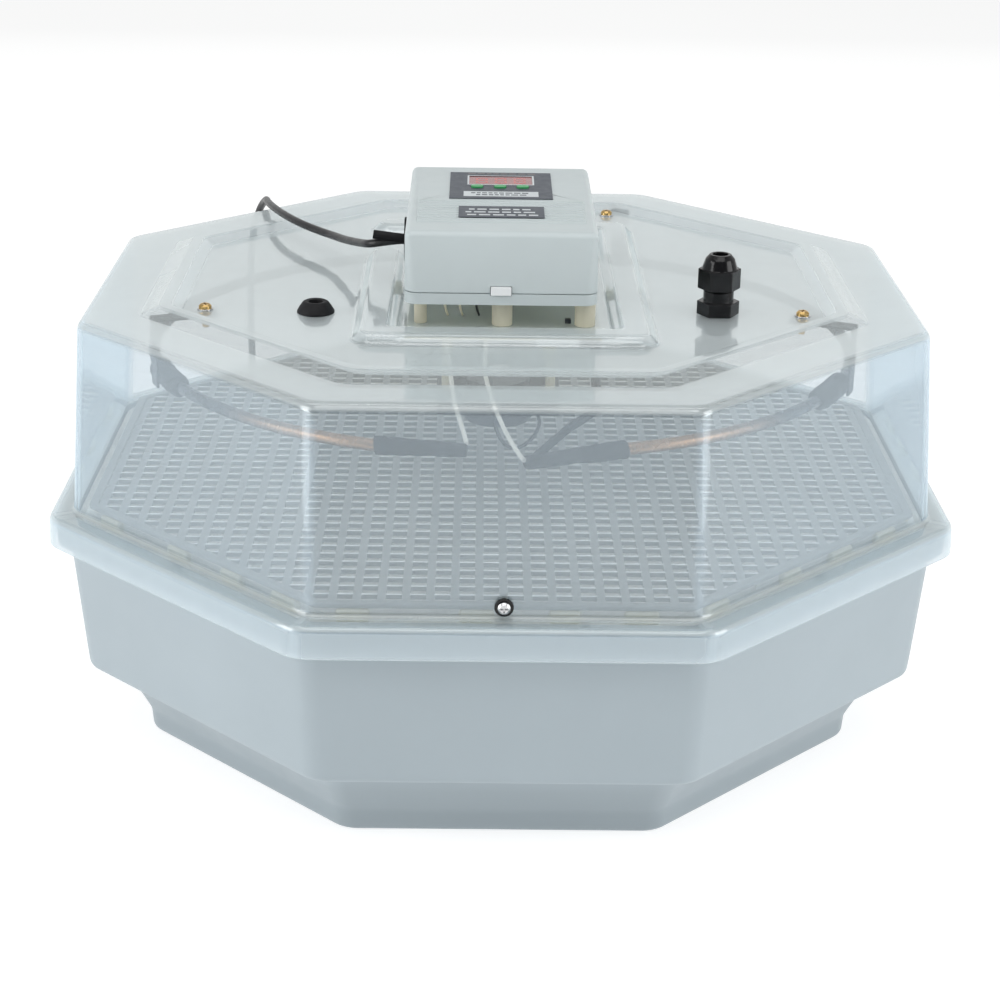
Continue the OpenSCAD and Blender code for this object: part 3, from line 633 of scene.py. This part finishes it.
def grid_plate(bm, xs, ys, low, top):
    """Plate between low and top whose openings lie between the bars; every second strip each way is a bar."""
    verts = {}

    def vert(i, j, z):
        if (i, j, z) not in verts:
            verts[i, j, z] = bm.verts.new(Vector((xs[i], ys[j], z)) * MM)
        return verts[i, j, z]

    cells = {(i, j) for i in range(len(xs) - 1) for j in range(len(ys) - 1) if i % 2 == 0 or j % 2 == 0}
    for i, j in cells:
        for z in (top, low):
            bm.faces.new((vert(i, j, z), vert(i + 1, j, z), vert(i + 1, j + 1, z), vert(i, j + 1, z)))
        for di, dj, a, b in ((-1, 0, (0, 0), (0, 1)), (1, 0, (1, 0), (1, 1)), (0, -1, (0, 0), (1, 0)),
                             (0, 1, (0, 1), (1, 1))):
            if (i + di, j + dj) not in cells:
                p, q = (i + a[0], j + a[1]), (i + b[0], j + b[1])
                bm.faces.new((vert(*p, top), vert(*q, top), vert(*q, low), vert(*p, low)))


def grid_ridges_painted_highlight(bm, xs, ys, top):
    """Crowned ridge on every cross bar, from one lengthwise bar to the next."""
    overlap, foot, shoulder = 0.3, 0.05, 0.3
    sunk, crown = 0.2, 0.5
    for i in range(1, len(xs) - 1, 2):
        for j in range(0, len(ys) - 1, 2):
            y0, y1 = ys[j], ys[j + 1]
            ridge = [(y0 + foot, top - sunk), (y0 + shoulder, top + shoulder), ((y0 + y1) / 2, top + crown),
                     (y1 - shoulder, top + shoulder), (y1 - foot, top - sunk)]
            ends = [[bm.verts.new(Vector((x, y, z)) * MM) for y, z in ridge]
                    for x in (xs[i] - overlap, xs[i + 1] + overlap)]
            for a in range(4):
                bm.faces.new((ends[0][a], ends[1][a], ends[1][a + 1], ends[0][a + 1]))
            bm.faces.new((ends[0][4], ends[1][4], ends[1][0], ends[0][0]))
            bm.faces.new(ends[0])
            bm.faces.new(list(reversed(ends[1])))


def make_grid():
    """Slotted grid: lengthwise bars, with raised rounded cross bars between them, inside an octagonal rim."""
    half_bar, half_rung = 2.4, 0.7
    thick, rim_rise = 3.2, 0.7
    rim_width, rim_overlap = 5.5, 3
    xs, ys = bar_edges(BAR_PITCH, half_bar), bar_edges(RUNG_PITCH, half_rung)
    top, low = GRID_TOP - rim_rise, GRID_TOP - thick
    plate, raised = bmesh.new(), bmesh.new()
    grid_plate(plate, xs, ys, low, top)
    grid_ridges_painted_highlight(raised, xs, ys, top)
    cut = (GRID_APOTHEM - rim_overlap) * MM
    for part in (plate, raised):
        bmesh.ops.recalc_face_normals(part, faces=part.faces)
        for k in range(8):
            a = math.radians(45 * k)
            out = Vector((math.cos(a), math.sin(a), 0))
            bmesh.ops.bisect_plane(part, geom=part.verts[:] + part.edges[:] + part.faces[:],
                                   plane_co=out * cut, plane_no=out, clear_outer=True)
    # The ridges' whiter material paints the highlight on the cross bars
    place(new_object("grid_ridges_painted_highlight", raised, MATERIALS["grid_ridges_painted_highlight"]), "grid_plastic", "egg_grid")
    inner = GRID_APOTHEM - rim_width
    rim = rounded_profile([(inner, low, 0, 4), (GRID_APOTHEM, low, 1, 6), (GRID_APOTHEM, GRID_TOP, 1, 6),
                           (inner, GRID_TOP, 1, 4), (inner, low, 0, 4)], 3)
    sweep_rings(plate, [octagon_loop(x, z, r, 2, 5) for x, z, r in rim[:-1]], close=True)
    mark_sharp(plate, 40)
    place(new_object("slotted_grid", plate, MATERIALS["grid_plastic"]), "grid_plastic", "egg_grid", "egg_grid")


def make_rests():
    """Moulded blocks on the tray's ledge that carry the grid's edge, a little uneven in width."""
    source = random.Random(9)
    places = (-81, -16, 32, 76)
    half_widths = (7.5, 11.5)
    outer, inner = 247, 242
    ledge, top = 143.8, 151.3
    bm = bmesh.new()
    for k in range(8):
        turn = Matrix.Rotation(math.radians(45 * k), 4, "Z")
        for x in places:
            left, right = (source.uniform(*half_widths) for _ in range(2))
            block(bm, (x - left, -outer, ledge), (x + right, -inner, top), turn)
    rests = new_object("moulded_rests", bm, MATERIALS["cream_plastic"])
    place(add_bevel(rests, 2, 3), "cream_plastic", "base", "grid_rests")


make_tub()
make_grid()
for name in ("base_insulation", "inner_tray", "water_divider"):
    finished(name, 0)
make_rests()


# ---------------------------------------------------------------- lid

BEAD_LINE = [(-74.5, 48), (-74.5, -130.5), (74.5, -130.5), (74.5, 126), (-74.5, 126)]
BEAD_FLAT, BEAD_SLOPE, BEAD_RISE = 6.5, 7.0, 6.0
RIDGE_RISE = 4.8
SIDE_STEPS, CORNER_STEPS = 50, 8


def bead_height(x, y):
    """Height of the raised bead round the control box above the lid's flat top."""
    here = Vector((x, y))
    nearest = math.inf
    for a, b in zip(BEAD_LINE, BEAD_LINE[1:]):
        p, q = Vector(a), Vector(b)
        t = max(0, min(1, (here - p).dot(q - p) / (q - p).length_squared))
        nearest = min(nearest, (here - p.lerp(q, t)).length)
    t = max(0.0, min(1.0, (nearest - BEAD_FLAT) / BEAD_SLOPE))
    return BEAD_RISE * (1 - t * t * (3 - 2 * t))


def middle_rings(level):
    """Loops over the lid's flat middle, closest together where the bead is pressed into them."""
    inside, beaded, outside = ([2 + 4 * k for k in range(14)], [58 + 1.8 * k for k in range(60)],
                               [166 + 3 * k for k in range(7)])
    apothems = inside + beaded + outside
    rings = [octagon_loop(a, level, a * 0.07, SIDE_STEPS, CORNER_STEPS) for a in apothems]
    for ring in rings:
        for p in ring:
            p.z += bead_height(p.x, p.y)
    return rings


def make_lid():
    """Clear lid in one skin: flat middle with its bead, octagonal ridge, walls and skirt."""
    under = LID_TOP - LID_WALL
    ridge_top, ridge_under = LID_TOP + RIDGE_RISE, under + RIDGE_RISE
    skirt_low = 132.2
    outline = rounded_profile([
        # Flat top, octagonal ridge and shoulder
        (187, LID_TOP, 0, 12), (189.5, LID_TOP, 2.5, 12), (195.5, ridge_top, 3.5, 13), (202, ridge_top, 5, 13),
        (214, LID_TOP, 5, 15), (236, LID_TOP, 0, 15), (247.6, LID_TOP, 7.5, 16),
        # Wall, ledge and skirt, outside and inside
        (255.3, 151, 3.2, 19), (269.2, 150.6, 4.6, 25), (RIM, skirt_low, 0.6, 26), (RIM - 2, skirt_low, 0.6, 24),
        (267.2, 148.4, 2, 23), (253.6, 148.6, 3.5, 18),
        # The same shoulder and ridge from below
        (245.4, under, 6, 15), (236, under, 0, 14), (213.2, under, 4, 14), (201.6, ridge_under, 4, 12),
        (196.4, ridge_under, 3, 12), (191, under, 2.5, 11), (187, under, 0, 11),
    ], 6)
    border = [octagon_loop(a, z, r, SIDE_STEPS, CORNER_STEPS) for a, z, r in outline]
    bm = bmesh.new()
    sweep_rings(bm, middle_rings(LID_TOP) + border + middle_rings(under)[::-1])
    lid = new_object("lid_shell", bm, MATERIALS["clear_plastic"])
    place(lid, "clear_plastic", "lid", "lid_cover", "lid_bead")


make_lid()


# ---------------------------------------------------------------- small pieces under the lid

RING_RADIUS = 216
RING_Z = 230
RING_TUBE = 3.5


def ring_point(degrees):
    a = math.radians(degrees)
    return Vector((RING_RADIUS * math.cos(a), RING_RADIUS * math.sin(a), RING_Z))


def ring_path(start, stop, steps):
    return [ring_point(start + (stop - start) * k / steps) * MM for k in range(steps + 1)]


def make_heater():
    """Open ring of tube, with both ends inside their sleeves."""
    bm = bmesh.new()
    tube(bm, ring_path(-74, 252.5, 150), RING_TUBE * MM, 20)
    place(new_object("heater_ring", bm, MATERIALS["heater_metal"]), "heater_metal", "lid", "heater_tube")


def make_wrap(name, start, stop, seed, *nodes):
    """Bound pad round the tube where its hanger holds it."""
    source = random.Random(seed)
    steps = 14
    thinnest, widest, tallest, end = 6.2, 7.6, 7.8, 4.6
    sizes = [(source.uniform(thinnest, widest), source.uniform(thinnest, tallest)) for _ in range(steps + 1)]
    sizes[0] = sizes[-1] = (end, end)
    bm = bmesh.new()
    tube(bm, ring_path(start, stop, steps), lambda t: tuple(v * MM for v in sizes[round(t * steps)]), 14)
    wrap = new_object(name, bm, MATERIALS["black_rubber"])
    wrap.modifiers.new("smooth", "SUBSURF").levels = 1
    place(wrap, "black_rubber", "lid", *nodes)


def make_sleeve(node, start, stop, seed):
    """Shrunk sleeve on a tube's end: round where it grips, pinched in the middle, flat at its open end."""
    source = random.Random(seed)
    steps = 26
    sag, uneven = 0.25, 0.18
    radius, pinched, widened, flattened = 5.1, 0.7, 0.4, 1.7
    path = [start.lerp(stop, k / steps) * MM for k in range(steps + 1)]
    for p in path[1:-1]:
        p.z += source.uniform(-sag, sag) * MM
    sizes = []
    for k in range(steps + 1):
        t = k / steps
        middle = math.exp(-((t - 0.5) / 0.2) ** 2)
        open_end = max(0.0, (t - 0.45) / 0.55)
        base = radius - pinched * middle + source.uniform(-uneven, uneven)
        sizes.append(((base + widened * open_end) * MM, (base - flattened * open_end) * MM))
    bm = bmesh.new()
    tube(bm, path, lambda t: sizes[round(t * steps)], 20)
    sleeve = new_object(node + "_shrunk", bm, MATERIALS["black_rubber"])
    place(add_bevel(sleeve, 0.3, 2, 60), "black_rubber", "lid", node)


def make_wire(name, points, radius, slot):
    """Round wire through points in millimetres."""
    bm = bmesh.new()
    tube(bm, smooth_path([Vector(p) * MM for p in points]), radius * MM, 10)
    place(new_object(name, bm, MATERIALS[slot]), slot, "lid")


def make_block(name, low, high, slot, soft=0.5):
    """Box with rounded edges between two corners in millimetres."""
    bm = bmesh.new()
    block(bm, low, high)
    place(add_bevel(new_object(name, bm, MATERIALS[slot]), soft, 3), slot, "lid")


make_heater()
make_wrap("heater_wrap_left", 198, 210, 5, "heater_clamps")
make_wrap("heater_wrap_right", -33.5, -22, 6)
make_sleeve("heater_sleeve_left", ring_point(251), Vector((-21, -211, RING_Z)), 2)
make_sleeve("heater_sleeve_right", ring_point(-72.4), Vector((11, -229, RING_Z)), 3)
make_block("cable_clip", (17.8, -117, 260.2), (42.8, -113.4, 264), "white_plastic")
make_block("clip_cable", (43, -117, 260), (55, -113.4, 264), "black_wire", 1.2)
for name, x, slot in (("box_wire_left", -35, "cream_plastic"), ("box_wire_middle", -26.4, "cream_plastic"),
                      ("box_wire_right", -16.8, "black_wire")):
    make_wire(name, [(x, -96, 282.6), (x + 0.2, -96.3, 279), (x + 0.9, -95, 275), (x + 1.8, -90, 271)], 0.7, slot)
make_block("lid_stud", (35, -95, LID_TOP), (38.6, -91, LID_TOP + 2.6), "dark_metal")


# ---------------------------------------------------------------- everything else from the CAD nodes

# Width of the broken edges in millimetres, and its steps
USUAL_EDGE = (0.2, 2)
SOFT_EDGES = {
    "case_cover": (0.5, 2), "case_base": (0.6, 3), "front_clip": (0.4, 3), "standoffs": (0.4, 3),
    "fan_frame": (0.8, 3), "fan_motor": (0.6, 3), "heater_hangers": (0.3, 2),
    "gland_body": (0.5, 3), "gland_dome_nut": (0.5, 3), "gland_locknut": (0.5, 3), "gland_seal": (0.5, 3),
    "heater_lead_left": (0, 0), "heater_lead_right": (0, 0), "fan_lead": (0, 0), "sensor_cable": (0, 0),
    "face_label": (0.05, 1), "rating_label": (0.05, 1),
}
# The mount plate's lighter colour paints light into the box's shadow
finished("fan_mount_plate", 0.5, material=MATERIALS["mount_plate"])
done = {n for o in bpy.data.objects for n in o.get("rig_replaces", [])}
for name in sorted(NODES):
    if name not in done:
        finished(name, *SOFT_EDGES.get(name, USUAL_EDGE))


# ---------------------------------------------------------------- printing on the labels

FACE_PRINT = (0.4, 0.46)
STRIP_PRINT = (0.46, 0.49)
RATING_PRINT = (0.72, 0.78)
DIGIT_PRINT = (0.1, 0.14)


def printed(name, boxes, heights, material="label_print", slot="label_grey"):
    """Thin raised print on the box's sloping top; boxes are (x0, y0, x1, y1), in millimetres."""
    on_top = Matrix.Translation((CASE_X, CASE_FRONT, CASE_TOP)) @ Matrix.Rotation(TILT, 4, "X")
    bm = bmesh.new()
    for x0, y0, x1, y1 in boxes:
        block(bm, (x0, y0, heights[0]), (x1, y1, heights[1]), on_top)
    place(add_bevel(new_object(name, bm, MATERIALS[material]), 0.03, 1), slot, "lid")


def mark_row(source, y0, y1, width, shortest, longest, gap, spare=2):
    """A row of uneven marks that stands for a line of text."""
    boxes = []
    x = -width / 2
    while x < width / 2 - spare:
        step = source.uniform(shortest, longest)
        boxes.append((x, y0, x + step, y1))
        x += step + gap
    return boxes


def make_label_marks():
    """Borders and plain marks on the face label and on the rating label."""
    source = random.Random(4)
    border = 1.1
    x1, y0, y1 = 20.4, DISPLAY_Y - 11, DISPLAY_Y + 11
    printed("display_border", [
        (-x1, y0, x1, y0 + border), (-x1, y1 - border, x1, y1),
        (-x1, y0 + border, -x1 + border, y1 - border), (x1 - border, y0 + border, x1, y1 - border),
    ], FACE_PRINT)
    strip_x, strip_y0, strip_y1 = 22.5, 78.4, 89.8
    printed("label_strip", [(-strip_x, strip_y0, strip_x, strip_y1)], FACE_PRINT)
    strip = [box for y, width in ((85.2, 36), (81, 30)) for box in mark_row(source, y, y + 2, width, 2, 4.4, 0.9)]
    printed("strip_marks", strip, STRIP_PRINT, "label_grey")
    printed("label_marks", mark_row(source, 131, 133.2, 40, 2.5, 5, 1.2), FACE_PRINT, "faint_print")
    lines = [box for rise, width in ((5, 38), (-1, 42), (-7, 40))
             for box in mark_row(source, RATING_Y + rise - 1.2, RATING_Y + rise + 1.2, width, 3, 7, 1.6, 3)]
    printed("rating_marks", lines, RATING_PRINT)


def make_digits():
    """Three unlit seven-segment digits behind the red window."""
    wide, tall, stroke, pitch = 7.4, 12.4, 1.5, 11.6
    middle_gap, end_gap = 0.9, 0.6
    half = stroke / 2
    boxes = []
    for cx in (-pitch, 0, pitch):
        for level in (-1, 0, 1):
            y = DISPLAY_Y + level * (tall / 2 - half)
            boxes.append((cx - wide / 2 + stroke, y - half, cx + wide / 2 - stroke, y + half))
        for side in (-1, 1):
            for rise in (-1, 1):
                x = cx + side * (wide / 2 - half)
                y0, y1 = sorted((DISPLAY_Y + rise * middle_gap, DISPLAY_Y + rise * (tall / 2 - end_gap)))
                boxes.append((x - half, y0, x + half, y1))
    printed("display_digits", boxes, DIGIT_PRINT, "display_segments", "display_red")


make_label_marks()
make_digits()


# ---------------------------------------------------------------- stage and light

FLOOR_SIZE = 12
FLOOR_LEVEL = -0.0005
FLOOR_GLOW = 0.69
AIR_COLOUR = (0.985, 1, 0.995, 1)
AIR_FRONT, AIR_BACK = 0.13, 0.6
LOW_FILL_POWER = 0.7


def make_floor():
    bm = bmesh.new()
    bmesh.ops.create_grid(bm, x_segments=1, y_segments=1, size=FLOOR_SIZE)
    t = Tree("floor")
    shader = t.add("ShaderNodeBsdfPrincipled", Roughness=0.9, Specular_IOR_Level=0.1, Emission_Color=(1, 1, 1, 1),
                   Emission_Strength=FLOOR_GLOW)
    tone = t.blend(t.spread(t.noise(0.6, 2), 0, 1), (0.5, 0.5, 0.5), (0.54, 0.54, 0.54))
    t.join(tone, shader.inputs["Base Color"])
    floor = new_object("floor", bm, t.finish(shader.outputs[0]))
    floor.location.z = FLOOR_LEVEL


def area_light(name, place_at, aim, size, power):
    data = bpy.data.lights.new(name, "AREA")
    data.shape = "RECTANGLE"
    data.size, data.size_y = size
    data.energy = power
    light = bpy.data.objects.new(name, data)
    bpy.context.scene.collection.objects.link(light)
    light.location = place_at
    light.rotation_mode = "QUATERNION"
    light.rotation_quaternion = (Vector(aim) - Vector(place_at)).to_track_quat("-Z", "Y")


def make_world():
    """Even studio air: dim in front, bright at the back and the sides."""
    world = bpy.data.worlds.new("world")
    bpy.context.scene.world = world
    world.use_nodes = True
    nodes, links = world.node_tree.nodes, world.node_tree.links
    background = nodes["Background"]
    background.inputs["Color"].default_value = AIR_COLOUR
    coords = nodes.new("ShaderNodeTexCoord").outputs["Generated"]
    axes = nodes.new("ShaderNodeSeparateXYZ")
    links.new(coords, axes.inputs[0])
    strength = nodes.new("ShaderNodeMapRange")
    strength.interpolation_type = "SMOOTHSTEP"
    strength.inputs["From Min"].default_value = -1
    strength.inputs["From Max"].default_value = 0.6
    strength.inputs["To Min"].default_value = AIR_FRONT
    strength.inputs["To Max"].default_value = AIR_BACK
    links.new(axes.outputs["Y"], strength.inputs["Value"])
    links.new(strength.outputs["Result"], background.inputs["Strength"])


def make_light():
    make_world()
    middle, top = (0, 0, 0.15), (0, -0.1, 0.25)
    area_light("left_softbox", (-1.85, -0.8, 0.8), middle, (1.2, 1.2), 17)
    area_light("right_softbox", (1.85, -0.8, 0.8), middle, (1.2, 1.2), 15)
    area_light("front_overhead", (0, -0.95, 1.7), top, (1.8, 0.8), 9.4)
    area_light("top_strip", (0, -0.1, 1.75), top, (1.8, 0.35), 3.6)
    area_light("back_panel", (0, 2.4, 1.0), (0, 0, 0.3), (3.6, 1.5), 5)
    for side in (-1, 1):
        area_light("low_fill", (side, -0.7, 0.2), (0, 0, 0.1), (0.6, 0.35), LOW_FILL_POWER)


make_floor()
make_light()
bpy.context.scene.view_settings.view_transform = "Standard"
bpy.context.scene.cycles.transparent_max_bounces = 32
